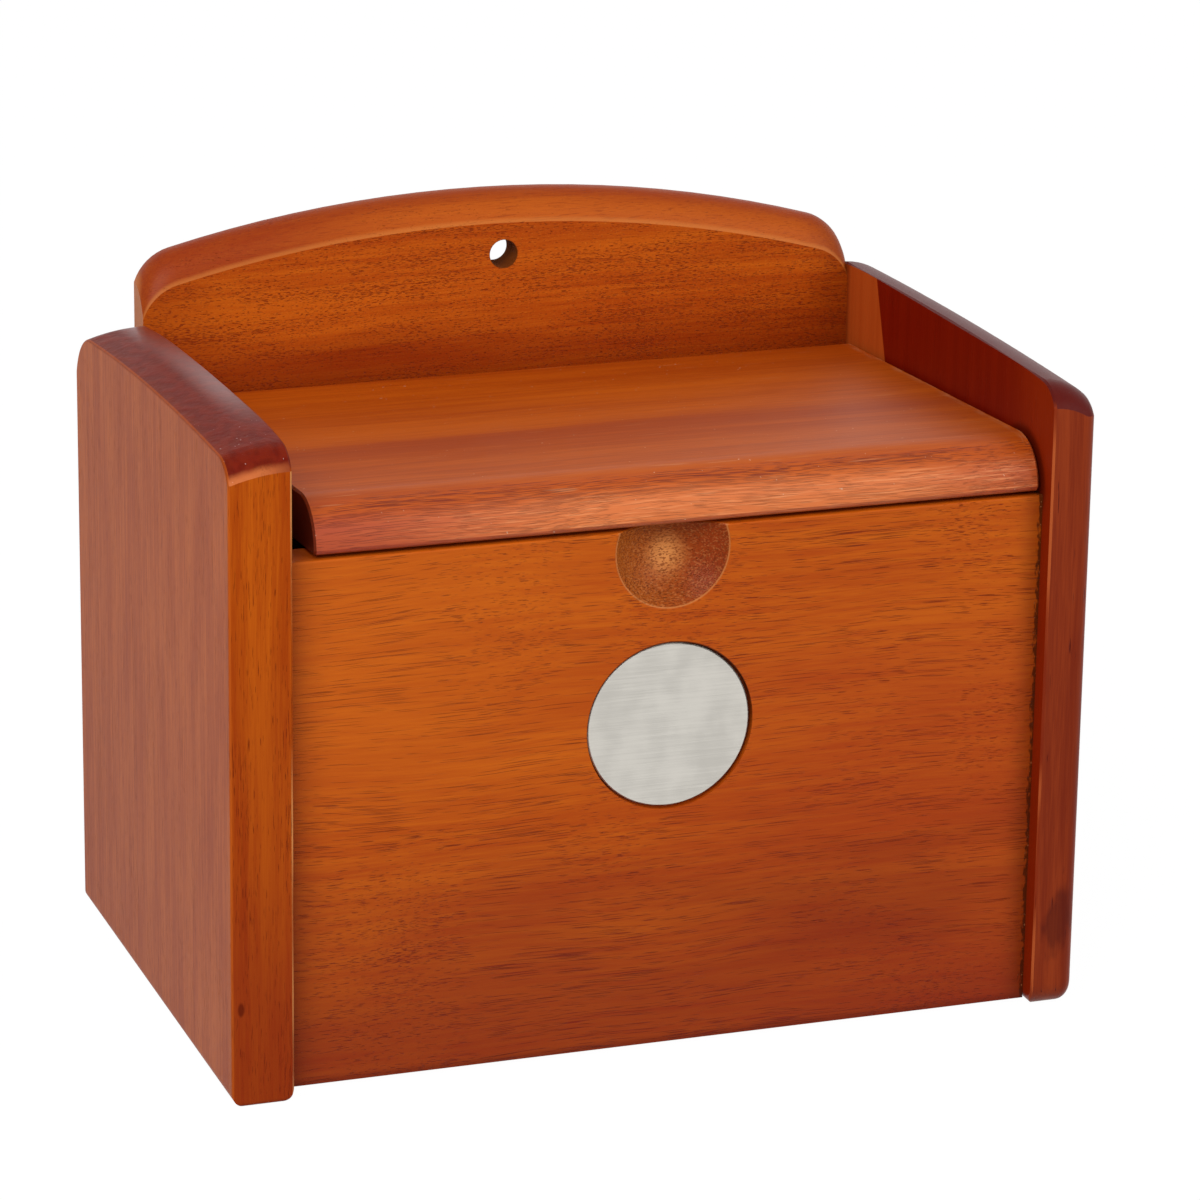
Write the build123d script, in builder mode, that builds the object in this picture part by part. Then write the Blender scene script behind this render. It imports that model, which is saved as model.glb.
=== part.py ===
from build123d import *
from math import cos, radians, sin, sqrt, tan
import os

# A wooden salt box that stands on a worktop or hangs on a wall, in millimetres.
# X runs to the right, Y to the back and Z up. The origin is under its middle, on the surface it stands on.

# Overall size and board thicknesses
overall_width = 170.0
overall_depth = 112.0
left_side_thickness = 12.0
right_side_thickness = 9.0
back_thickness = 7.0
front_thickness = 8.0
bottom_thickness = 6.0
lid_thickness = 10.0

# Outline of the side panels, seen from the side: the left one is more arched, the right one rounder below
side_crest_setback = 25.0
side_top_front_corner = 7.0
side_corner_overrun = 0.6
left_crest_height = 126.6
left_top_radius = 800.0
left_top_rear_corner = 13.0
left_bottom_corner = 1.0
right_crest_height = 126.0
right_top_radius = 1800.0
right_top_rear_corner = 7.0
right_bottom_corner = 5.0

# Softened edges of the side panels
left_crown_drop = 2.0
right_crown_drop = 4.0
crown_section_count = 4
left_outer_arris = 0.6
right_outer_arris = 2.6
inner_arris = 0.4
side_foot_radius = 2.8

# Front, bottom and back boards
front_setback = 4.0
board_lift = 1.2
board_arris = 0.4

# Arched top of the back panel
arch_crest_height = 143.8
arch_radius = 258.0
arch_crest_offset = -3.7
arch_corner_radius = 10.0
arch_corner_overrun = 0.5
moulding_depth = 6.0
moulding_drop = 6.0
moulding_first_turn = 35.0
moulding_section_count = 5
hanging_hole_diameter = 5.8
hanging_hole_below_crest = 12.4

# Lid and its hinge pins
lid_tilt = 3.6
lid_lower_edge_height = 104.5
lid_front_setback = 4.0
lid_left_gap = 5.3
lid_right_gap = 0.8
lid_back_gap = 0.8
lid_seat_gap = 0.3
lid_front_lip = 1.0
lid_arris = 0.4
pin_diameter = 3.0
pin_running_clearance = 0.05
pin_grip_in_lid = 9.0
pin_end_clearance = 1.0

# Thumb scoop, label disc and its recess
scoop_diameter = 22.4
scoop_depth = 5.0
scoop_below_top = 4.2
scoop_rim_chamfer = 0.3
disc_diameter = 32.2
disc_thickness = 1.0
disc_chamfer = 0.25
disc_height = 65.0
recess_clearance = 0.4
recess_extra_depth = 0.2
disc_shift_left = 0.25
disc_shift_up = 0.2

# Blind dowels and pin holes
blind_wall = 3.0
dowel_diameter = 4.0
dowel_clearance = 0.05
dowel_end_clearance = 0.5
dowel_grip_in_board = 10.0
dowel_inset = 18.0
front_dowel_rows = 2
back_dowel_rows = 2
bottom_dowel_rows = 1

# Places worked out from the sizes above
left_face = -overall_width / 2
right_face = overall_width / 2
left_inner = left_face + left_side_thickness
right_inner = right_face - right_side_thickness
inside_middle = (left_inner + right_inner) / 2
front_face = -overall_depth / 2
rear_face = overall_depth / 2
panel_face = front_face + front_setback
panel_back = panel_face + front_thickness
back_face = rear_face - back_thickness

tilt = radians(lid_tilt)
pivot_y = back_face - lid_back_gap - lid_thickness / 2
lid_front_y = front_face + lid_front_setback
lid_reach = (pivot_y - lid_front_y - lid_thickness / 2 * sin(tilt)) / cos(tilt)
pivot_z = lid_lower_edge_height + lid_thickness / 2 * cos(tilt) - lid_reach * sin(tilt)
lid_left_end = left_inner + lid_left_gap
lid_right_end = right_inner - lid_right_gap
panel_top = lid_lower_edge_height - (panel_back - lid_front_y) * tan(tilt) - lid_seat_gap
scoop_height = panel_top - scoop_below_top
hanging_hole_height = arch_crest_height - hanging_hole_below_crest

pivot = (pivot_y, pivot_z)
left_pin_end = lid_left_end + pin_grip_in_lid
right_pin_end = lid_right_end - pin_grip_in_lid
bore_diameter = pin_diameter + 2 * pin_running_clearance
left_dowel_end = left_inner + dowel_grip_in_board
right_dowel_end = right_inner - dowel_grip_in_board
hole_diameter = dowel_diameter + 2 * dowel_clearance
lowest_dowel = board_lift + dowel_inset
highest_dowel = panel_top - dowel_inset

os.makedirs("parts", exist_ok=True)


def arc_drop(radius, distance):
    """How far an arc of this radius has fallen at a distance from its crest."""
    return radius - sqrt(radius**2 - distance**2)


def evenly(first, last, count):
    """Evenly spaced places from the first to the last, or the middle for one alone."""
    if count == 1:
        return [(first + last) / 2]
    return [first + (last - first) * step / (count - 1) for step in range(count)]


# Dowels as places in Y and Z, in the middle of each cross board's thickness
front_dowel_y = panel_face + front_thickness / 2
back_dowel_y = back_face + back_thickness / 2
bottom_dowel_z = board_lift + bottom_thickness / 2
foremost_dowel = panel_back + dowel_inset
rearmost_dowel = back_face - dowel_inset
front_dowels_at = [(front_dowel_y, z) for z in evenly(lowest_dowel, highest_dowel, front_dowel_rows)]
back_dowels_at = [(back_dowel_y, z) for z in evenly(lowest_dowel, highest_dowel, back_dowel_rows)]
bottom_dowels_at = [(y, bottom_dowel_z) for y in evenly(foremost_dowel, rearmost_dowel, bottom_dowel_rows)]
all_dowels_at = front_dowels_at + back_dowels_at + bottom_dowels_at


def rods(places, start_x, end_x, diameter):
    """Round rods along X through the places in Y and Z, as dowels, as pins or to cut their holes."""
    with BuildPart() as made:
        with BuildSketch(Plane.YZ.offset(start_x)):
            with Locations(*places):
                Circle(diameter / 2)
        extrude(amount=end_x - start_x)
    return made.part


def arch_outline(crest, radius, start_x, end_x, start_corner, end_corner, overrun):
    """A board's outline under a long arc with a rounded corner at each end, larger than the board.

    The corners run past the board's ends by the overrun, so that the board cuts them off at an edge.
    """
    crest_x, crest_y = crest
    first_x = start_x - overrun
    last_x = end_x + overrun
    first_y = crest_y - arc_drop(radius, crest_x - first_x)
    last_y = crest_y - arc_drop(radius, last_x - crest_x)
    with BuildSketch() as outline:
        with BuildLine():
            Polyline((first_x, first_y), (first_x, -overrun), (last_x, -overrun), (last_x, last_y))
            ThreePointArc((last_x, last_y), crest, (first_x, first_y))
        make_face()
        fillet(outline.vertices().sort_by(Axis.X)[:2].sort_by(Axis.Y)[-1], start_corner)
        fillet(outline.vertices().sort_by(Axis.X)[-2:].sort_by(Axis.Y)[-1], end_corner)
    return outline.sketch


def side_panel(
    inner_x, outer_x, crest_height, top_radius, rear_corner, bottom_corner, crown_drop, outer_arris
):
    """A side board, whose top is lofted from its inner to its outer face so that it is crowned."""
    thickness = abs(outer_x - inner_x)
    outward = (outer_x - inner_x) / thickness
    outward_axis = Axis((0, 0, 0), (outward, 0, 0))
    crown_radius = (thickness**2 + crown_drop**2) / (2 * crown_drop)
    blind_end = outer_x - outward * blind_wall
    blank_height = crest_height + side_corner_overrun
    corners = (side_top_front_corner, rear_corner)
    with BuildPart() as panel:
        with BuildSketch(Plane.YZ.offset(inner_x)) as board:
            Rectangle(overall_depth, blank_height, align=(Align.CENTER, Align.MIN))
            fillet(board.vertices().sort_by(Axis.Y)[:2], bottom_corner)
        extrude(amount=outward * thickness)
        for across in evenly(0, thickness, crown_section_count):
            crest = (front_face + side_crest_setback, crest_height - arc_drop(crown_radius, across))
            with BuildSketch(Plane.YZ.offset(inner_x + outward * across)):
                add(arch_outline(crest, top_radius, front_face, rear_face, *corners, side_corner_overrun))
        loft(mode=Mode.INTERSECT)
        chamfer(panel.faces().sort_by(outward_axis)[0].edges(), inner_arris)
        fillet(panel.faces().sort_by(outward_axis)[-1].edges(), outer_arris)
        with BuildSketch(Plane.XZ) as elevation:
            with Locations(((inner_x + outer_x) / 2, 0)):
                Rectangle(thickness, blank_height, align=(Align.CENTER, Align.MIN))
            fillet(elevation.vertices().sort_by(Axis.Y)[:2], side_foot_radius)
        extrude(amount=overall_depth, both=True, mode=Mode.INTERSECT)
        add(rods(all_dowels_at, inner_x, blind_end, hole_diameter), mode=Mode.SUBTRACT)
        add(rods([pivot], inner_x, blind_end, pin_diameter), mode=Mode.SUBTRACT)
    return panel


def dowels(places):
    """Dowels through both joints of a board, as separate solids, short of the ends of their holes."""
    left_start = left_face + blind_wall + dowel_end_clearance
    right_end = right_face - blind_wall - dowel_end_clearance
    left_dowels = rods(places, left_start, left_dowel_end, dowel_diameter)
    right_dowels = rods(places, right_dowel_end, right_end, dowel_diameter)
    return Compound(children=[*left_dowels.solids(), *right_dowels.solids()])


def dowel_holes_in_board(places):
    """Holes in the two ends of a board for its dowels."""
    left_holes = rods(places, left_inner, left_dowel_end + dowel_end_clearance, hole_diameter)
    right_holes = rods(places, right_dowel_end - dowel_end_clearance, right_inner, hole_diameter)
    return left_holes.solids() + right_holes.solids()


# Side panels: two boards of nearly the same outline, the left one thicker
left_side_panel = side_panel(
    left_inner,
    left_face,
    left_crest_height,
    left_top_radius,
    left_top_rear_corner,
    left_bottom_corner,
    left_crown_drop,
    left_outer_arris,
)
left_side_panel.part.label = "left_side_panel"
export_step(left_side_panel.part, "parts/left_side_panel.step")

right_side_panel = side_panel(
    right_inner,
    right_face,
    right_crest_height,
    right_top_radius,
    right_top_rear_corner,
    right_bottom_corner,
    right_crown_drop,
    right_outer_arris,
)
right_side_panel.part.label = "right_side_panel"
export_step(right_side_panel.part, "parts/right_side_panel.step")


# Back panel: its arch sinks towards the front face, which moulds it but leaves the board's ends square
def back_outline(drop):
    """Outline of the back panel's arched top in X and Z, lowered by the drop."""
    crest = (inside_middle + arch_crest_offset, arch_crest_height - drop)
    corners = (arch_corner_radius, arch_corner_radius)
    return arch_outline(crest, arch_radius, left_inner, right_inner, *corners, arch_corner_overrun)


with BuildPart() as back_panel:
    first_turn = radians(moulding_first_turn)
    for turn in evenly(first_turn, radians(90), moulding_section_count):
        depth = moulding_depth * (1 - cos(turn) / cos(first_turn))
        drop = moulding_drop * (1 - sin(turn)) / (1 - sin(first_turn))
        with BuildSketch(Plane.XZ.offset(-back_face - depth)):
            add(back_outline(drop))
    loft()
    with BuildSketch(Plane.XZ.offset(-rear_face)):
        add(back_outline(0))
    extrude(amount=back_thickness - moulding_depth)
    with BuildSketch(Plane.XZ.offset(-rear_face)):
        with Locations((inside_middle, board_lift)):
            Rectangle(right_inner - left_inner, arch_crest_height, align=(Align.CENTER, Align.MIN))
        with Locations((inside_middle, hanging_hole_height)):
            Circle(hanging_hole_diameter / 2, mode=Mode.SUBTRACT)
    extrude(amount=back_thickness, mode=Mode.INTERSECT)
    add(dowel_holes_in_board(back_dowels_at), mode=Mode.SUBTRACT)
back_panel.part.label = "back_panel"
export_step(back_panel.part, "parts/back_panel.step")

# Front panel: a board with a round thumb scoop at its top edge and a shallow recess for the label disc
scoop_radius = ((scoop_diameter / 2) ** 2 + scoop_depth**2) / (2 * scoop_depth)
recess_depth = disc_thickness + recess_extra_depth
with BuildPart() as front_panel:
    with BuildSketch(Plane.XZ.offset(-panel_back)):
        with Locations((inside_middle, (board_lift + panel_top) / 2)):
            Rectangle(right_inner - left_inner, panel_top - board_lift)
    extrude(amount=front_thickness)
    fillet(front_panel.edges().filter_by(Axis.X).sort_by(Axis.Z)[-2:].sort_by(Axis.Y)[0], board_arris)
    with Locations((inside_middle, panel_face + scoop_depth - scoop_radius, scoop_height)):
        Sphere(scoop_radius, mode=Mode.SUBTRACT)
    chamfer(front_panel.edges().filter_by(GeomType.CIRCLE).sort_by(Axis.Y)[0], scoop_rim_chamfer)
    with BuildSketch(Plane.XZ.offset(-panel_face)):
        with Locations((inside_middle, disc_height)):
            Circle(disc_diameter / 2 + recess_clearance)
    extrude(amount=-recess_depth, mode=Mode.SUBTRACT)
    add(dowel_holes_in_board(front_dowels_at), mode=Mode.SUBTRACT)
front_panel.part.label = "front_panel"
export_step(front_panel.part, "parts/front_panel.step")

# Bottom panel: a thinner board between the front and back boards
with BuildPart() as bottom_panel:
    with BuildSketch(Plane.XY.offset(board_lift)):
        with Locations((inside_middle, (panel_back + back_face) / 2)):
            Rectangle(right_inner - left_inner, back_face - panel_back)
    extrude(amount=bottom_thickness)
    add(dowel_holes_in_board(bottom_dowels_at), mode=Mode.SUBTRACT)
bottom_panel.part.label = "bottom_panel"
export_step(bottom_panel.part, "parts/bottom_panel.step")

# Lid: one board, rounded over at the front and fully round at the back about its pins
lid_half = lid_thickness / 2
lid_roundover = lid_thickness - lid_front_lip
lid_plane = Plane(
    origin=(lid_right_end, pivot_y, pivot_z), x_dir=(0, -cos(tilt), sin(tilt)), z_dir=(-1, 0, 0)
)
with BuildPart() as lid:
    with BuildSketch(lid_plane):
        with BuildLine():
            Line((0, lid_half), (lid_reach - lid_roundover, lid_half))
            JernArc((lid_reach - lid_roundover, lid_half), (1, 0), lid_roundover, -90)
            JernArc((lid_reach, lid_front_lip - lid_half), (0, -1), lid_front_lip, -90)
            Line((lid_reach - lid_front_lip, -lid_half), (0, -lid_half))
            ThreePointArc((0, -lid_half), (-lid_half, 0), (0, lid_half))
        make_face()
    extrude(amount=lid_right_end - lid_left_end)
    lid_ends = lid.faces().sort_by(Axis.X)
    chamfer(lid_ends[0].edges() + lid_ends[-1].edges(), lid_arris)
    left_bore = rods([pivot], lid_left_end, left_pin_end + pin_end_clearance, bore_diameter)
    right_bore = rods([pivot], right_pin_end - pin_end_clearance, lid_right_end, bore_diameter)
    add(left_bore.solids() + right_bore.solids(), mode=Mode.SUBTRACT)
lid.part.label = "lid"
export_step(lid.part, "parts/lid.step")

# Label disc: a plain metal disc that lies on the floor of its recess, a little off its middle
with BuildPart() as label_disc:
    with BuildSketch(Plane.XZ.offset(-panel_face - recess_depth)):
        with Locations((inside_middle - disc_shift_left, disc_height + disc_shift_up)):
            Circle(disc_diameter / 2)
    extrude(amount=disc_thickness)
    chamfer(label_disc.edges().sort_by(Axis.Y)[0], disc_chamfer)
label_disc.part.label = "label_disc"
export_step(label_disc.part, "parts/label_disc.step")

# Hinge pins: steel pins pressed into the side panels, on which the lid turns
with BuildPart() as left_hinge_pin:
    add(rods([pivot], left_face + blind_wall, left_pin_end, pin_diameter))
left_hinge_pin.part.label = "left_hinge_pin"
export_step(left_hinge_pin.part, "parts/left_hinge_pin.step")

with BuildPart() as right_hinge_pin:
    add(rods([pivot], right_pin_end, right_face - blind_wall, pin_diameter))
right_hinge_pin.part.label = "right_hinge_pin"
export_step(right_hinge_pin.part, "parts/right_hinge_pin.step")

# Dowels: blind wooden dowels between the side panels and the ends of each cross board
for label, places in {
    "front_dowels": front_dowels_at,
    "back_dowels": back_dowels_at,
    "bottom_dowels": bottom_dowels_at,
}.items():
    dowel_group = dowels(places)
    dowel_group.label = label
    export_step(dowel_group, f"parts/{label}.step")
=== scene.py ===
from math import radians

import bpy
from mathutils import Matrix, Vector


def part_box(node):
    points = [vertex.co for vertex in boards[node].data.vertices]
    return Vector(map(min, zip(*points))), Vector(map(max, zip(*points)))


# A wooden salt box: reddish stained and lacquered boards, a hinged lid and a plain steel label disc.
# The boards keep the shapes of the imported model, and each gets its own stain, grain and wear here.

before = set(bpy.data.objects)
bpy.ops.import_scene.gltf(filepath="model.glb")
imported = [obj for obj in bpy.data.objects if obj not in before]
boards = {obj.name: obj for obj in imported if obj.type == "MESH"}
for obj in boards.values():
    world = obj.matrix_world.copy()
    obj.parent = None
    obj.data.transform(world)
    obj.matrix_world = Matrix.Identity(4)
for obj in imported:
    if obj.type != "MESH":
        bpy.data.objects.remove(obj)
bpy.ops.object.select_all(action="DESELECT")
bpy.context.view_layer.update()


# The bottom panel is a thin board between the front and the back.
# It is sawn, stained and thinly lacquered, and it shows only from below and with the lid open.
def put(tree, kind, inputs, **settings):
    """Adds a shader node, with its settings, and joins or fills its sockets by name or number."""
    node = tree.nodes.new(kind)
    for setting, value in settings.items():
        setattr(node, setting, value)
    for label, value in inputs.items():
        if isinstance(value, bpy.types.NodeSocket):
            tree.links.new(value, node.inputs[label])
        else:
            node.inputs[label].default_value = value
    return node


def work_out(tree, operation, first, second=0.0):
    """One sum on two values or sockets."""
    return put(tree, "ShaderNodeMath", {0: first, 1: second}, operation=operation).outputs[0]


def vector_sum(tree, operation, first, second):
    """One sum on two places."""
    return put(tree, "ShaderNodeVectorMath", {0: first, 1: second}, operation=operation).outputs[0]


def ramp(tree, value, none_at, full_at):
    """Goes smoothly from 0 to 1 while the value goes between two limits, in either order."""
    limits = {"Value": value, "From Min": none_at, "From Max": full_at}
    return put(tree, "ShaderNodeMapRange", limits, interpolation_type="SMOOTHSTEP").outputs[0]


def all_of(tree, *masks):
    """Full where every one of the masks is full, and weaker with a plain number among them."""
    together = masks[0]
    for mask in masks[1:]:
        together = work_out(tree, "MULTIPLY", together, mask)
    return together


def mixture(tree, shares):
    """The sum of values, each times its own share."""
    total = 0.0
    for value, share in shares:
        total = work_out(tree, "ADD", work_out(tree, "MULTIPLY", value, share), total)
    return total


def laid_over(tree, mask, under, over):
    """One colour laid over another where the mask is 1."""
    return put(tree, "ShaderNodeMix", {0: mask, 6: under, 7: over}, data_type="RGBA").outputs[2]


def uneven(tree, place, patch, detail=2.0):
    """Uneven values about 0.5, in patches of about this size in each direction."""
    sized = vector_sum(tree, "DIVIDE", place, patch)
    return put(tree, "ShaderNodeTexNoise", {"Vector": sized, "Scale": 1.0, "Detail": detail}).outputs[0]


def stain(red, green, blue):
    """A colour given in 0 to 255, as Blender's nodes want it."""
    return tuple((channel / 255) ** 2.2 for channel in (red, green, blue)) + (1.0,)


def start_effect(name, inputs, outputs):
    """A new shader node group, with its inputs' kinds and first values, and its outputs' kinds."""
    group = bpy.data.node_groups.new(name, "ShaderNodeTree")
    for label, (kind, value) in inputs.items():
        group.interface.new_socket(label, in_out="INPUT", socket_type=kind).default_value = value
    for label, kind in outputs.items():
        group.interface.new_socket(label, in_out="OUTPUT", socket_type=kind)
    given = group.nodes.new("NodeGroupInput").outputs
    result = group.nodes.new("NodeGroupOutput").inputs
    return group, given, result


# The grain runs along the first direction of Place. Pores are long thin hollows that show as dark dashes,
# and they come in swarms. Figure is the board's slow change from pale to deep stain.
board_grain, given, result = start_effect(
    "board_grain",
    {
        "Place": ("NodeSocketVector", (0, 0, 0)),
        "Pale": ("NodeSocketColor", stain(186, 86, 20)),
        "Deep": ("NodeSocketColor", stain(156, 60, 14)),
        "Pore": ("NodeSocketColor", stain(96, 32, 10)),
        "Band size": ("NodeSocketVector", (0.1, 0.012, 0.012)),
        "Pore size": ("NodeSocketVector", (0.008, 0.00045, 0.00045)),
        "Pores": ("NodeSocketFloat", 0.5),
        "Wander": ("NodeSocketFloat", 0.004),
    },
    {"Color": "NodeSocketColor", "Relief": "NodeSocketFloat"},
)
slow_turns = put(
    board_grain, "ShaderNodeTexNoise", {"Vector": given["Place"], "Scale": 14.0, "Detail": 1.0}
).outputs["Color"]
turned = vector_sum(board_grain, "SUBTRACT", slow_turns, (0.5, 0.5, 0.5))
across_only = vector_sum(board_grain, "MULTIPLY", turned, (0.0, 1.0, 1.0))
drift = put(
    board_grain, "ShaderNodeVectorMath", {0: across_only, "Scale": given["Wander"]}, operation="SCALE"
).outputs[0]
flow = vector_sum(board_grain, "ADD", given["Place"], drift)
bands = uneven(board_grain, flow, given["Band size"])
streaks = uneven(board_grain, flow, (0.05, 0.0014, 0.0014))
fibres = uneven(board_grain, flow, (0.008, 0.0003, 0.0003), 1.0)
swarms = uneven(board_grain, flow, (0.022, 0.004, 0.004), 1.0)
peaks = uneven(board_grain, flow, given["Pore size"], 1.0)
openness = mixture(board_grain, [(peaks, 1.0), (swarms, 0.3), (given["Pores"], 0.16)])
hollow = ramp(board_grain, openness, 0.87, 1.0)
figure = mixture(board_grain, [(bands, 0.45), (streaks, 0.33), (fibres, 0.22)])
stained = laid_over(board_grain, ramp(board_grain, figure, 0.35, 0.65), given["Deep"], given["Pale"])
board_grain.links.new(laid_over(board_grain, hollow, stained, given["Pore"]), result["Color"])
relief = mixture(board_grain, [(fibres, 0.35), (hollow, -1.0)])
board_grain.links.new(relief, result["Relief"])


def start_finish(name):
    """A new empty material, its node tree and the place of each point of its piece."""
    material = bpy.data.materials.new(name)
    material.use_nodes = True
    tree = material.node_tree
    tree.nodes.clear()
    return material, tree, put(tree, "ShaderNodeTexCoord", {}).outputs["Object"]


def grained(tree, place, turn, offset, changes):
    """The grain's colour and relief, turned along the board and moved so that no two boards match."""
    cut = put(tree, "ShaderNodeMapping", {"Vector": place, "Rotation": turn, "Location": offset})
    grain = put(tree, "ShaderNodeGroup", {"Place": cut.outputs[0], **changes}, node_tree=board_grain)
    return grain.outputs["Color"], grain.outputs["Relief"]


def lacquer(tree, color, roughness, relief, depth, gloss=0.12, coat=0.0):
    """The lacquer over a stained board, with the relief of its grain showing through."""
    bumps = put(tree, "ShaderNodeBump", {"Height": relief, "Strength": 1.0, "Distance": depth})
    surface = {
        "Base Color": color,
        "Roughness": roughness,
        "Normal": bumps.outputs[0],
        "Specular IOR Level": gloss,
        "Coat Weight": coat,
        "Coat Roughness": 0.3,
    }
    coated = put(tree, "ShaderNodeBsdfPrincipled", surface)
    put(tree, "ShaderNodeOutputMaterial", {"Surface": coated.outputs[0]})


def dress(node, material):
    """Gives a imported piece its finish."""
    piece = boards[node]
    piece.data.materials.clear()
    piece.data.materials.append(material)


quarter_turn = radians(90)
grain_across_box = (0.0, 0.0, 0.0)
grain_upright = (0.0, quarter_turn, 0.0)

bottom_finish, tree, place = start_finish("thinly_lacquered_bottom")
bottom_grain = {"Pale": stain(186, 112, 58), "Deep": stain(150, 78, 36), "Pore": stain(92, 42, 20)}
color, relief = grained(tree, place, grain_across_box, (0.3, 0.1, 0.7), bottom_grain)
lacquer(tree, color, roughness=0.6, relief=relief, depth=0.0001)
dress("bottom_panel", bottom_finish)


# The front panel is a board set between the sides, glued and held by blind dowels.
# Its thumb scoop is cut with a round cutter, and its recess holds the label disc.
# The board is redder low down, glue left a dark line along the right joint, and painted shade darkens
# that corner.
left_low, left_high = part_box("left_side_panel")
right_low, right_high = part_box("right_side_panel")
front_low, front_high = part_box("front_panel")
disc_low, disc_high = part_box("label_disc")
inside_middle = (left_high.x + right_low.x) / 2
disc_middle = (disc_low.z + disc_high.z) / 2
scoop_radius = 0.0112
scoop_height = front_high.z - 0.0042
rim_width = 0.0004
recess_radius = 0.0165
heartwood_place = (0.036, 0, 0.026)
board_roughness = 0.42
grain_depth = 0.00008
across_and_up = (1, 0, 1)
# A hair is about the width over which a sharp edge of colour fades.
hair = 0.0001


def parts_of(tree, place):
    """The three numbers of a place or a direction."""
    return put(tree, "ShaderNodeSeparateXYZ", {0: place}).outputs


def distance_to(tree, place, point, counted):
    """How far each point is from a point, counting only some directions."""
    flat = vector_sum(tree, "MULTIPLY", place, counted)
    target = tuple(value * count for value, count in zip(point, counted))
    return put(tree, "ShaderNodeVectorMath", {0: flat, 1: target}, operation="DISTANCE").outputs["Value"]


def scattered(tree, place, patch, none_at, full_at, detail=2.0):
    """Scattered marks of about this size, where the uneven values pass from one limit to the other."""
    return ramp(tree, uneven(tree, place, patch, detail), none_at, full_at)


front_finish, tree, place = start_finish("front_panel_stain")
across, deep, up = parts_of(tree, place)
front_grain = {
    "Pale": stain(201, 97, 22),
    "Deep": stain(176, 73, 17),
    "Pore": stain(138, 50, 16),
    "Band size": (0.12, 0.016, 0.016),
    "Pore size": (0.012, 0.00013, 0.00013),
    "Pores": 0.65,
    "Wander": 0.008,
}
color, relief = grained(tree, place, grain_across_box, (0.0, 0.4, 0.2), front_grain)
golden = all_of(tree, ramp(tree, across, 0.02, front_low.x), ramp(tree, up, 0.04, 0.07), 0.35)
color = laid_over(tree, golden, color, stain(216, 108, 28))
redder = all_of(tree, ramp(tree, across, -0.02, 0.04), ramp(tree, up, 0.09, 0.07), 0.35)
color = laid_over(tree, redder, color, stain(158, 50, 24))
clouds = uneven(tree, place, (0.09, 0.05, 0.03))
uneven_height = mixture(tree, [(clouds, 0.06), (up, 1.0), (across, 0.06)])
low_down = ramp(tree, uneven_height, 0.086, 0.03)
color = laid_over(tree, all_of(tree, low_down, 0.66), color, stain(122, 32, 24))
# A dark band along the foot of the face is painted shade near the floor.
foot = ramp(tree, up, front_low.z + 0.0018, front_low.z + 0.0004)
color = laid_over(tree, all_of(tree, foot, 0.5), color, stain(92, 24, 12))
from_heartwood = distance_to(tree, place, heartwood_place, (0.35, 0, 1))
from_heartwood = mixture(tree, [(from_heartwood, 1.0), (uneven(tree, place, (0.04, 0.01, 0.006)), 0.03)])
heartwood = all_of(tree, ramp(tree, from_heartwood, 0.036, 0.018), 0.35)
color = laid_over(tree, heartwood, color, stain(110, 30, 16))
rim_distance = distance_to(tree, place, (inside_middle, 0, scoop_height), across_and_up)
hollowed = ramp(tree, deep, front_low.y + hair / 4, front_low.y + hair)
hollowed = all_of(tree, hollowed, ramp(tree, up, front_high.z - hair / 4, front_high.z - hair))
in_scoop = all_of(tree, hollowed, ramp(tree, rim_distance, scoop_radius + rim_width, scoop_radius))
cut_pores = scattered(tree, place, (0.0006, 0.0003, 0.0003), 0.5, 0.64, detail=1.0)
lit_fibres = scattered(tree, place, (0.0007, 0.00035, 0.00035), 0.5, 0.36, detail=1.0)
# The scoop's left wall is painted lighter and its right wall darker, as shade, with a painted highlight
# in its middle.
scoop_side = ramp(tree, across, inside_middle - scoop_radius, inside_middle + scoop_radius)
scoop_color = laid_over(tree, scoop_side, stain(160, 84, 28), stain(128, 44, 12))
scoop_highlight_place = (inside_middle, 0, scoop_height - 0.002)
from_scoop_highlight = distance_to(tree, place, scoop_highlight_place, across_and_up)
scoop_color = laid_over(tree, ramp(tree, from_scoop_highlight, 0.0056, 0.0), scoop_color, stain(226, 150, 84))
scoop_color = laid_over(tree, all_of(tree, lit_fibres, 0.2), scoop_color, stain(232, 160, 96))
scoop_color = laid_over(tree, all_of(tree, cut_pores, 0.7), scoop_color, stain(84, 32, 10))
color = laid_over(tree, all_of(tree, in_scoop, 0.8), color, scoop_color)
off_rim = work_out(tree, "SUBTRACT", rim_distance, scoop_radius + rim_width / 2)
on_rim = ramp(tree, work_out(tree, "ABSOLUTE", off_rim), rim_width, rim_width / 2)
color = laid_over(tree, all_of(tree, on_rim, hollowed, 0.7), color, stain(206, 124, 66))
recess_distance = distance_to(tree, place, (inside_middle, 0, disc_middle), across_and_up)
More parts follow.
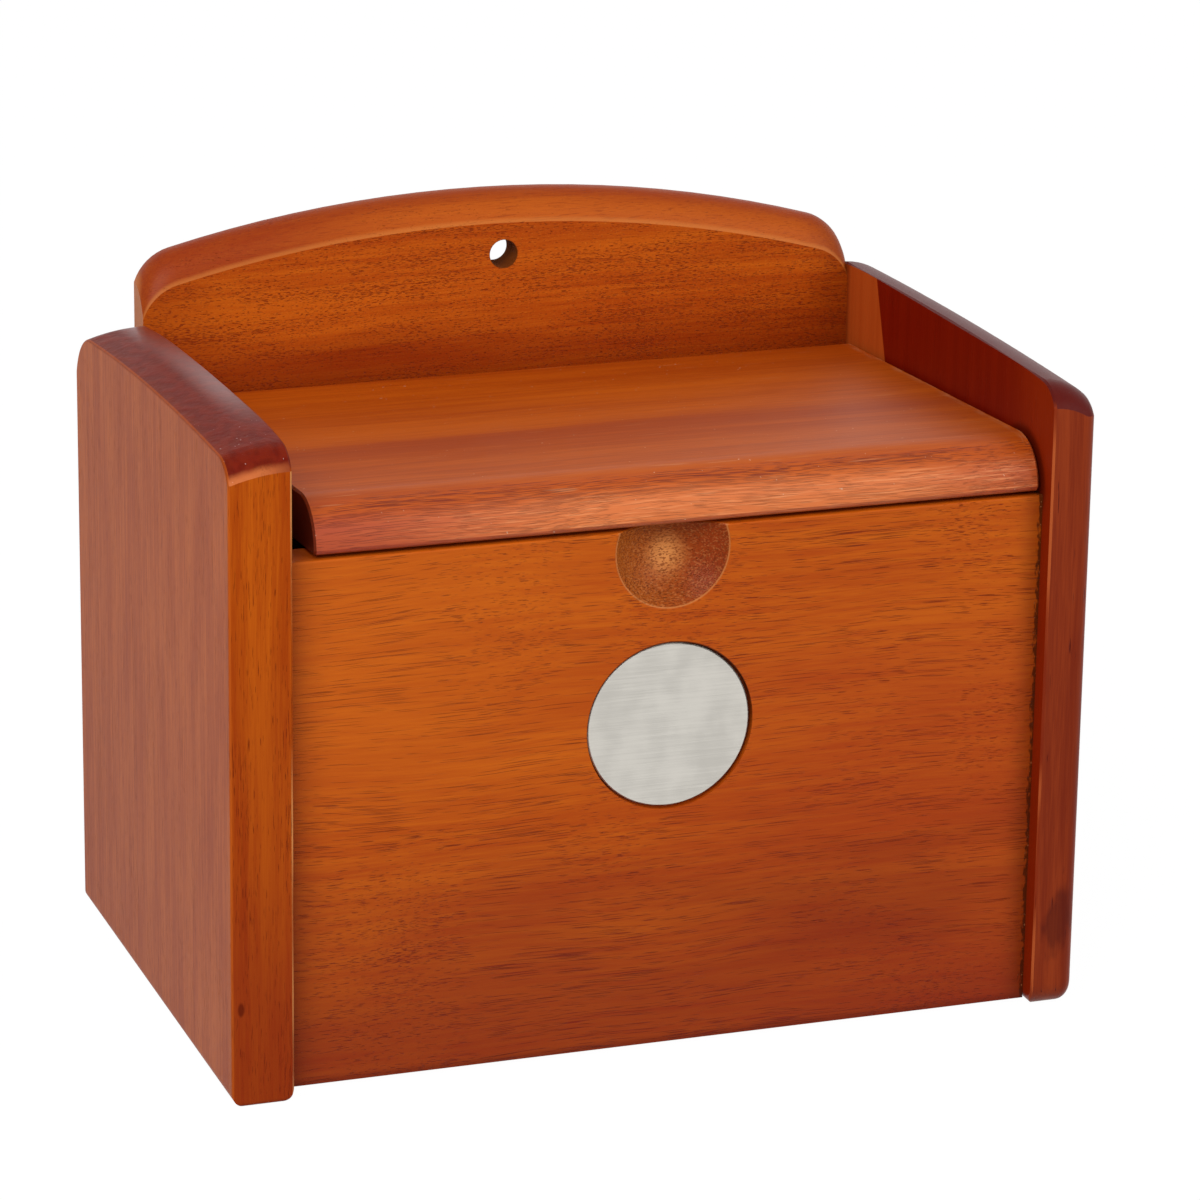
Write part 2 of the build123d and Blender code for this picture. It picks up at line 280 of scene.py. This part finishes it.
# A dark disc over the recess is painted shade for its wall; it is painted on the panel's inner face too.
in_recess = ramp(tree, recess_distance, recess_radius + hair, recess_radius - hair)
color = laid_over(tree, all_of(tree, in_recess, 0.8), color, stain(45, 14, 8))
from_joint = work_out(tree, "SUBTRACT", right_low.x, across)
crumbs = uneven(tree, place, (0.0006, 0.0006, 0.0016))
glue_reach = mixture(tree, [(crumbs, 0.0026), (from_joint, -1.0)])
glue_line = ramp(tree, glue_reach, 0.0004, 0.001)
shaded = all_of(tree, ramp(tree, from_joint, 0.006, 0.0), 0.4)
color = laid_over(tree, shaded, color, stain(110, 46, 14))
color = laid_over(tree, all_of(tree, glue_line, 0.85), color, stain(70, 28, 10))
chips = scattered(tree, place, (0.0005, 0.0005, 0.0009), 0.66, 0.74, detail=1.0)
color = laid_over(tree, all_of(tree, glue_line, chips, 0.7), color, stain(176, 112, 72))
# The corner beside the left panel is painted darker as shade.
left_corner_shade = all_of(tree, ramp(tree, across, left_high.x + 0.01, left_high.x), 0.3)
color = laid_over(tree, left_corner_shade, color, stain(104, 38, 14))
lacquer(tree, color, board_roughness, relief, grain_depth)
dress("front_panel", front_finish)


# The back panel stands between the sides and carries the moulded arch with its hanging hole.
# It comes from a coarser board, whose short pores lie close together.
# The moulding was sanded after its cutter, so it has few pores and a paler worn crease with a painted
# highlight.
def facing(tree):
    """The three numbers of the direction that each point faces."""
    return parts_of(tree, put(tree, "ShaderNodeTexCoord", {}).outputs["Normal"])


back_low, back_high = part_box("back_panel")
hole_radius = 0.0029
hole_below_crest = 0.0124
moulding_foot = 0.112
lid_shade_top = 0.128
lid_shade = stain(122, 28, 6)

back_finish, tree, place = start_finish("back_panel_stain")
across, deep, up = parts_of(tree, place)
facing_right, facing_back, facing_up = facing(tree)
above_foot = ramp(tree, up, moulding_foot, moulding_foot + 0.006)
on_moulding = all_of(tree, ramp(tree, facing_up, 0.12, 0.25), above_foot)
on_front = ramp(tree, facing_back, -0.9, -0.97)
back_grain = {
    "Pale": stain(202, 99, 24),
    "Deep": stain(173, 72, 17),
    "Pore": stain(144, 56, 14),
    "Band size": (0.12, 0.02, 0.02),
    "Pore size": (0.001, 0.00015, 0.00015),
    "Pores": mixture(tree, [(on_moulding, -0.8), (0.9, 1.0)]),
    "Wander": 0.004,
}
color, relief = grained(tree, place, grain_across_box, (0.9, 0.2, 0.5), back_grain)
long_lines = scattered(tree, place, (0.016, 0.0004, 0.0004), 0.58, 0.72)
color = laid_over(tree, all_of(tree, long_lines, 0.35), color, stain(124, 42, 10))
lit_specks = scattered(tree, place, (0.0006, 0.0002, 0.0002), 0.58, 0.74, detail=1.0)
color = laid_over(tree, all_of(tree, lit_specks, 0.3), color, stain(226, 136, 46))
uneven_height = mixture(tree, [(up, 1.0), (uneven(tree, place, (0.05, 0.01, 0.01)), 0.012)])
above_lid = all_of(tree, ramp(tree, uneven_height, lid_shade_top, lid_shade_top - 0.011), on_front)
redder_left = ramp(tree, across, 0.06, -0.04)
color = laid_over(tree, all_of(tree, above_lid, 0.4), color, lid_shade)
color = laid_over(tree, all_of(tree, above_lid, redder_left, 0.45), color, lid_shade)
by_right = ramp(tree, across, back_high.x - 0.012, back_high.x)
by_left = ramp(tree, across, back_low.x + 0.02, back_low.x)
# The right end of the front face is painted darker as shade in the corner, and the left end is darker
# red.
color = laid_over(tree, all_of(tree, by_right, on_front, 0.4), color, stain(98, 30, 10))
color = laid_over(tree, all_of(tree, by_left, on_front, 0.35), color, stain(140, 44, 8))
# The moulding's top is painted darker and redder where it faces up, as shade, and darker towards both
# ends.
moulding_shade_color = laid_over(tree, ramp(tree, facing_up, 0.45, 0.95), stain(188, 90, 26), stain(140, 50, 16))
leftwards = ramp(tree, across, -0.01, back_low.x + 0.02)
moulding_shade_color = laid_over(tree, all_of(tree, leftwards, 0.8), moulding_shade_color, stain(130, 35, 14))
moulding_shade_color = laid_over(tree, all_of(tree, by_right, 0.7), moulding_shade_color, stain(104, 30, 12))
color = laid_over(tree, all_of(tree, on_moulding, 0.7), color, moulding_shade_color)
sanded_lines = scattered(tree, place, (0.005, 0.0002, 0.0002), 0.54, 0.68)
color = laid_over(tree, all_of(tree, sanded_lines, on_moulding, 0.35), color, stain(112, 36, 12))
# The crease is worn paler and also painted with a highlight.
crease_wear_and_highlight = ramp(tree, deep, back_low.y + 0.0005, back_low.y + 0.0001)
color = laid_over(tree, all_of(tree, crease_wear_and_highlight, on_moulding, 0.5), color, stain(214, 128, 60))
# The end faces are painted paler, as light falling on them.
lit_ends = ramp(tree, work_out(tree, "ABSOLUTE", facing_right), 0.8, 0.95)
color = laid_over(tree, all_of(tree, lit_ends, 0.8), color, stain(196, 112, 52))
hole_middle = (inside_middle, 0, back_high.z - hole_below_crest)
from_hole = distance_to(tree, place, hole_middle, across_and_up)
in_hole = ramp(tree, from_hole, hole_radius + 2 * hair, hole_radius)
color = laid_over(tree, all_of(tree, in_hole, 0.95), color, stain(114, 58, 18))
roughness = mixture(tree, [(in_hole, 0.55), (board_roughness, 1.0)])
out_of_hole = ramp(tree, from_hole, hole_radius, hole_radius + 2 * hair)
moulding_coat = all_of(tree, on_moulding, out_of_hole, 0.03)
lacquer(tree, color, roughness, relief, grain_depth, gloss=0.1, coat=moulding_coat)
dress("back_panel", back_finish)


# The left side panel is the thicker one, with upright grain. Its end grain on top is dark red and glossy
# over small bumps, its outer face is painted pale as sheen, and its worn front break has a painted
# highlight.
def streaked(tree, place, width):
    """Long faint upright streaks of about this width."""
    return uneven(tree, place, (width, width, 0.04))


chip_place = (left_low.x + 0.0018, 0, 0.0195)

left_finish, tree, place = start_finish("left_side_stain")
across, deep, up = parts_of(tree, place)
facing_right, _, facing_up = facing(tree)
left_grain = {
    "Pale": stain(194, 92, 22),
    "Deep": stain(164, 66, 16),
    "Pore": stain(136, 51, 15),
    "Band size": (0.12, 0.004, 0.004),
    "Pore size": (0.0034, 0.00014, 0.00014),
    "Pores": 0.45,
    "Wander": 0.002,
}
color, relief = grained(tree, place, grain_upright, (0.1, 0.8, 0.3), left_grain)
uneven_height = mixture(tree, [(up, 1.0), (uneven(tree, place, (0.02, 0.02, 0.03)), 0.04)])
low_down = ramp(tree, uneven_height, 0.125, 0.02)
color = laid_over(tree, all_of(tree, low_down, 0.6), color, stain(126, 36, 26))
# The outer face is painted paler and bluer than the rest, standing in for its sheen, over its real
# streaks.
on_outside = ramp(tree, facing_right, -0.7, -0.95)
broad_bands = uneven(tree, place, (0.006, 0.006, 0.03))
outer_figure = mixture(tree, [(broad_bands, 0.45), (streaked(tree, place, 0.0004), 0.55)])
outer_paleness = ramp(tree, outer_figure, 0.36, 0.64)
outer_color_with_sheen = laid_over(tree, outer_paleness, stain(167, 79, 42), stain(195, 103, 55))
short_dashes = scattered(tree, place, (0.0004, 0.0004, 0.0035), 0.56, 0.74)
outer_color_with_sheen = laid_over(tree, all_of(tree, short_dashes, 0.6), outer_color_with_sheen, stain(136, 52, 28))
color = laid_over(tree, all_of(tree, on_outside, 0.85), color, outer_color_with_sheen)
on_top = ramp(tree, facing_up, 0.3, 0.38)
knocks = uneven(tree, place, (0.0022, 0.003, 0.0022), 1.0)
top_color = laid_over(tree, ramp(tree, knocks, 0.42, 0.6), stain(101, 24, 20), stain(114, 31, 23))
color = laid_over(tree, all_of(tree, on_top, 0.92), color, top_color)
glints = scattered(tree, place, (0.0004, 0.0004, 0.0004), 0.85, 0.87, detail=0.0)
near_front = ramp(tree, deep, left_low.y + 0.03, left_low.y + 0.012)
color = laid_over(tree, all_of(tree, glints, on_top, near_front), color, stain(235, 215, 215))
uneven_depth = mixture(tree, [(knocks, 0.0004), (deep, 1.0)])
# A highlight is painted over the worn front break, brightest towards the outer side.
by_front = ramp(tree, uneven_depth, left_low.y + 0.0014, left_low.y + 0.0004)
fading = ramp(tree, across, left_high.x + 0.004, left_low.x + 0.004)
color = laid_over(tree, all_of(tree, by_front, on_top, fading, 0.8), color, stain(218, 120, 68))
outer_arris = all_of(tree, ramp(tree, facing_right, -0.25, -0.45), ramp(tree, facing_right, -0.97, -0.85))
color = laid_over(tree, all_of(tree, outer_arris, 0.45), color, stain(206, 100, 36))
inner_arris = all_of(tree, ramp(tree, facing_right, 0.4, 0.6), ramp(tree, facing_right, 0.95, 0.8))
upright_arris = all_of(tree, inner_arris, ramp(tree, facing_up, 0.3, 0.1))
broken = ramp(tree, streaked(tree, place, 0.004), 0.35, 0.6)
color = laid_over(tree, all_of(tree, upright_arris, broken, 0.85), color, stain(236, 164, 98))
grit = uneven(tree, place, (0.0009, 0.0012, 0.0009), 1.0)
top_bumps = all_of(tree, mixture(tree, [(knocks, 2.4), (grit, 0.9)]), on_top)
relief = mixture(tree, [(relief, 1.0), (top_bumps, 1.0)])
by_inside = ramp(tree, across, left_low.x + 0.005, left_high.x - 0.001)
further_back = ramp(tree, deep, -0.045, -0.01)
from_chip = distance_to(tree, place, chip_place, (1, 0, 0.45))
chip = all_of(tree, ramp(tree, from_chip, 0.0008, 0.0004), 0.7)
color = laid_over(tree, chip, color, stain(84, 22, 12))
top_coat = all_of(tree, on_top, by_inside, further_back, 0.8)
lacquer(tree, color, board_roughness, relief, grain_depth, gloss=0.04, coat=top_coat)
dress("left_side_panel", left_finish)


# The right side panel is thinner and took more stain, so its inner face is the darkest of the box.
# A paler strip of wood is glued on along its rear, and its long edges are well rounded.
lid_low, lid_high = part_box("lid")
nose_reach = 0.0095
strip_lean = 0.35
strip_start = -0.0104
blotch_place = (right_high.x - 0.0042, right_low.y, 0.0185)

right_finish, tree, place = start_finish("right_side_stain")
_, deep, up = parts_of(tree, place)
facing_right, _, facing_up = facing(tree)
right_grain = {
    "Pale": stain(148, 60, 28),
    "Deep": stain(120, 42, 20),
    "Pore": stain(84, 20, 8),
    "Band size": (0.1, 0.006, 0.006),
    "Pore size": (0.006, 0.0005, 0.0005),
    "Pores": 0.2,
    "Wander": 0.003,
}
color, relief = grained(tree, place, grain_upright, (0.6, 0.2, 0.9), right_grain)
on_inside = ramp(tree, facing_right, -0.6, -0.9)
inner_color = laid_over(tree, streaked(tree, place, 0.003), stain(106, 18, 6), stain(128, 30, 10))
strip_color = laid_over(tree, streaked(tree, place, 0.0016), stain(172, 74, 28), stain(190, 91, 38))
from_seam = mixture(tree, [(deep, 1.0), (up, -strip_lean)])
on_strip = ramp(tree, from_seam, strip_start - 2 * hair, strip_start + 2 * hair)
inner_color = laid_over(tree, on_strip, inner_color, strip_color)
joint_shade = all_of(tree, ramp(tree, deep, back_low.y - 0.0022, back_low.y), 0.5)
inner_color = laid_over(tree, joint_shade, inner_color, stain(84, 22, 6))
warmer_front = all_of(tree, ramp(tree, deep, -0.03, -0.052), 0.5)
inner_color = laid_over(tree, warmer_front, inner_color, stain(150, 50, 14))
# A dark ring next to the lid's nose is painted shadow, where the nose meets the panel.
from_nose = distance_to(tree, place, (0, lid_low.y + nose_reach, lid_high.z - nose_reach), (0, 1, 1))
nose_shadow = ramp(tree, from_nose, nose_reach + 0.0018, nose_reach)
nose_shadow = all_of(tree, nose_shadow, ramp(tree, from_nose, nose_reach - 0.003, nose_reach - 0.001))
inner_color = laid_over(tree, all_of(tree, nose_shadow, 0.6), inner_color, stain(62, 16, 6))
color = laid_over(tree, on_inside, color, inner_color)
on_top = ramp(tree, facing_up, 0.3, 0.45)
color = laid_over(tree, all_of(tree, on_top, 0.9), color, stain(84, 18, 18))
inner_arris = all_of(tree, ramp(tree, facing_right, -0.4, -0.6), ramp(tree, facing_right, -0.95, -0.8))
upright_arris = all_of(tree, inner_arris, ramp(tree, facing_up, 0.3, 0.1))
broken = ramp(tree, streaked(tree, place, 0.004), 0.45, 0.6)
color = laid_over(tree, all_of(tree, upright_arris, broken, 0.6), color, stain(206, 106, 56))
from_blotch = distance_to(tree, place, blotch_place, (1, 1, 0.45))
from_blotch = mixture(tree, [(from_blotch, 1.0), (uneven(tree, place, (0.003, 0.003, 0.006)), 0.006)])
blotch = all_of(tree, ramp(tree, from_blotch, 0.0068, 0.0044), 0.55)
color = laid_over(tree, blotch, color, stain(64, 14, 14))
lacquer(tree, color, roughness=0.38, relief=relief, depth=0.00006, gloss=0.09)
dress("right_side_panel", right_finish)


# The dowels are short rods of pale beech, glued into the boards and never seen.
# They are left as turned, without stain.
dowel_finish, tree, place = start_finish("bare_beech")
beech_grain = {"Pale": stain(222, 186, 140), "Deep": stain(200, 156, 108), "Pore": stain(150, 104, 62)}
color, relief = grained(tree, place, grain_across_box, (0.2, 0.2, 0.2), beech_grain)
lacquer(tree, color, roughness=0.75, relief=relief, depth=0.00005)
for group in ("front_dowels", "back_dowels", "bottom_dowels"):
    dress(group, dowel_finish)


# The hinge pins are cut from bright steel rod and pressed into the side panels.
# The rear end of the lid turns on them.
def steel(tree, marks, dark, bright, smoothest, depth):
    """Bare steel with fine marks from its making."""
    bumps = put(tree, "ShaderNodeBump", {"Height": marks, "Strength": 1.0, "Distance": depth})
    surface = {
        "Base Color": laid_over(tree, marks, dark, bright),
        "Roughness": mixture(tree, [(marks, 0.2), (smoothest, 1.0)]),
        "Metallic": 1.0,
        "Normal": bumps.outputs[0],
    }
    metal = put(tree, "ShaderNodeBsdfPrincipled", surface)
    put(tree, "ShaderNodeOutputMaterial", {"Surface": metal.outputs[0]})


pin_finish, tree, place = start_finish("bright_steel_rod")
turned_marks = uneven(tree, place, (0.0002, 0.002, 0.002))
steel(tree, turned_marks, stain(150, 150, 152), stain(196, 196, 196), smoothest=0.2, depth=0.000002)
dress("left_hinge_pin", pin_finish)
dress("right_hinge_pin", pin_finish)


# The lid is one thick board between the sides, with a fully rounded rear end and a rounded front.
# The cutter has opened pale pores along its front, also painted lighter as a highlight. Its top is worn
# smooth.
streak_depth = -0.014

lid_finish, tree, place = start_finish("lid_stain")
across, deep, _ = parts_of(tree, place)
facing_right, _, facing_up = facing(tree)
turned_down = mixture(tree, [(facing_up, 1.0), (uneven(tree, place, (0.03, 0.002, 0.002)), 0.04)])
near_front = ramp(tree, deep, lid_low.y + 2 * nose_reach, lid_low.y + nose_reach)
on_nose = all_of(tree, ramp(tree, turned_down, 1.0, 0.9), near_front)
lid_grain = {
    "Pale": stain(190, 88, 18),
    "Deep": stain(164, 68, 14),
    "Pore": stain(108, 34, 18),
    "Band size": (0.14, 0.012, 0.012),
    "Pore size": (0.007, 0.00014, 0.00014),
    "Pores": mixture(tree, [(on_nose, 1.4), (-0.3, 1.0)]),
    "Wander": 0.005,
}
color, relief = grained(tree, place, grain_across_box, (0.5, 0.6, 0.1), lid_grain)
from_streak = distance_to(tree, place, (0, streak_depth, 0), (0, 1, 0))
from_streak = mixture(tree, [(from_streak, 1.0), (uneven(tree, place, (0.05, 0.01, 0.01)), 0.012)])
streak = all_of(tree, ramp(tree, from_streak, 0.014, 0.007), 0.4)
color = laid_over(tree, streak, color, stain(140, 50, 26))
# The front below the break is painted lighter as a highlight, darker towards both ends.
from_left = ramp(tree, across, lid_low.x, lid_low.x + 0.06)
nose_highlight_color = laid_over(tree, from_left, stain(176, 78, 56), stain(234, 132, 76))
to_right = ramp(tree, across, lid_high.x - 0.035, lid_high.x)
nose_highlight_color = laid_over(tree, to_right, nose_highlight_color, stain(186, 88, 48))
below_break = all_of(tree, on_nose, ramp(tree, facing_up, 0.85, 0.45))
color = laid_over(tree, all_of(tree, on_nose, 0.25), color, stain(176, 66, 24))
color = laid_over(tree, all_of(tree, below_break, 0.62), color, nose_highlight_color)
opened = scattered(tree, place, (0.008, 0.0002, 0.0002), 0.5, 0.7)
rightwards = ramp(tree, across, lid_low.x, lid_low.x + 0.05)
color = laid_over(tree, all_of(tree, below_break, opened, rightwards, 0.5), color, stain(244, 158, 104))
# Where the nose turns under, it is painted darker as shade.
shade_under_nose = all_of(tree, ramp(tree, facing_up, 0.1, -0.1), near_front)
color = laid_over(tree, all_of(tree, shade_under_nose, 0.5), color, stain(136, 34, 14))
# The lid's left end is painted dark as shade in the gap beside the left panel.
shaded_left_end = ramp(tree, facing_right, -0.5, -0.8)
color = laid_over(tree, all_of(tree, shaded_left_end, 0.85), color, stain(70, 24, 10))
by_right = ramp(tree, across, lid_high.x - 0.0022, lid_high.x - 0.001)
scratched = scattered(tree, place, (0.0005, 0.006, 0.0005), 0.42, 0.62)
on_level = ramp(tree, facing_up, 0.8, 0.98)
color = laid_over(tree, all_of(tree, by_right, on_level, scratched, 0.35), color, stain(196, 132, 92))
scuffs = scattered(tree, place, (0.014, 0.0007, 0.01), 0.7, 0.78, detail=1.0)
color = laid_over(tree, all_of(tree, scuffs, 0.3), color, stain(206, 140, 96))
salt_dust = scattered(tree, place, (0.0006, 0.0006, 0.0006), 0.86, 0.88, detail=0.0)
color = laid_over(tree, all_of(tree, salt_dust, 0.6), color, stain(226, 190, 160))
lid_coat = mixture(tree, [(on_nose, 0.2), (0.05, 1.0)])
lacquer(tree, color, board_roughness, relief, grain_depth, coat=lid_coat)
dress("lid", lid_finish)


# The label disc is stamped from stainless sheet, brushed from side to side and glued in its recess.
# Handling has left faint smudges on its face.
disc_finish, tree, place = start_finish("brushed_stainless")
brushing = uneven(tree, place, (0.012, 0.0004, 0.00012), 3.0)
smudges = uneven(tree, place, (0.006, 0.006, 0.008))
handled = ramp(tree, mixture(tree, [(brushing, 0.5), (smudges, 0.5)]), 0.35, 0.65)
steel(tree, handled, stain(187, 183, 175), stain(199, 195, 187), smoothest=0.35, depth=0.00001)
dress("label_disc", disc_finish)


# The studio is a white floor and a white surround, with two broad soft lamps.
# The floor keeps the soft shadow under the box.
floor_size = 8
floor_whiteness = 0.95
white_strength = 1.04
surround_strength = 0.45
lamp_size = 0.8
box_middle = Vector((0, 0, 0.06))


def white_for_camera(tree, lit_part, glow_kind, share):
    """White where the camera or a reflection looks, mixed with the lit surface by a share."""
    looks = tree.nodes.new("ShaderNodeLightPath").outputs
    mirrored = work_out(tree, "MAXIMUM", looks["Is Glossy Ray"], looks["Is Transmission Ray"])
    seen = work_out(tree, "MAXIMUM", looks["Is Camera Ray"], mirrored)
    glow = put(tree, glow_kind, {"Color": (1, 1, 1, 1), "Strength": white_strength})
    factor = work_out(tree, "MULTIPLY", seen, share)
    return put(tree, "ShaderNodeMixShader", {0: factor, 1: lit_part, 2: glow.outputs[0]}).outputs[0]


bpy.ops.mesh.primitive_plane_add(size=floor_size, location=(0, 0, 0))
floor = bpy.context.active_object
floor.name = "studio_floor"
floor_finish = bpy.data.materials.new("white_floor")
floor_finish.use_nodes = True
tree = floor_finish.node_tree
tree.nodes.clear()
matt = put(tree, "ShaderNodeBsdfDiffuse", {"Color": (0.5, 0.5, 0.5, 1)})
floor_look = white_for_camera(tree, matt.outputs[0], "ShaderNodeEmission", floor_whiteness)
put(tree, "ShaderNodeOutputMaterial", {"Surface": floor_look})
floor.data.materials.append(floor_finish)

surround = bpy.data.worlds.new("white_surround")
bpy.context.scene.world = surround
surround.use_nodes = True
tree = surround.node_tree
tree.nodes.clear()
dim = put(tree, "ShaderNodeBackground", {"Color": (1, 1, 1, 1), "Strength": surround_strength})
surround_look = white_for_camera(tree, dim.outputs[0], "ShaderNodeBackground", 1.0)
put(tree, "ShaderNodeOutputWorld", {"Surface": surround_look})


def soft_lamp(name, place, power):
    """A broad square lamp that looks at the middle of the box."""
    bpy.ops.object.light_add(type="AREA", location=place)
    lamp = bpy.context.active_object
    lamp.name = name
    lamp.data.size = lamp_size
    lamp.data.energy = power
    towards = box_middle - Vector(place)
    lamp.rotation_euler = towards.to_track_quat("-Z", "Y").to_euler()


soft_lamp("key_lamp", (-0.7, -0.9, 1.0), power=11.5)
soft_lamp("fill_lamp", (0.9, -0.9, 0.6), power=4.5)


# The camera stands where the photograph was taken from, a long lens a little above the box.
camera_place = (-0.3284, -0.9408, 0.3965)
camera_azimuth = radians(-19.55)
camera_elevation = radians(17.94)
camera_roll = radians(0.84)
focal_length = 160.77
sensor_width = 36

bpy.ops.object.camera_add()
camera = bpy.context.active_object
camera.data.lens = focal_length
camera.data.sensor_width = sensor_width
around = Matrix.Rotation(camera_azimuth, 4, "Z")
tilt = Matrix.Rotation(quarter_turn - camera_elevation, 4, "X")
roll = Matrix.Rotation(camera_roll, 4, "Z")
camera.matrix_world = Matrix.Translation(camera_place) @ (around @ tilt) @ roll
bpy.context.scene.camera = camera
bpy.context.scene.view_settings.view_transform = "Standard"
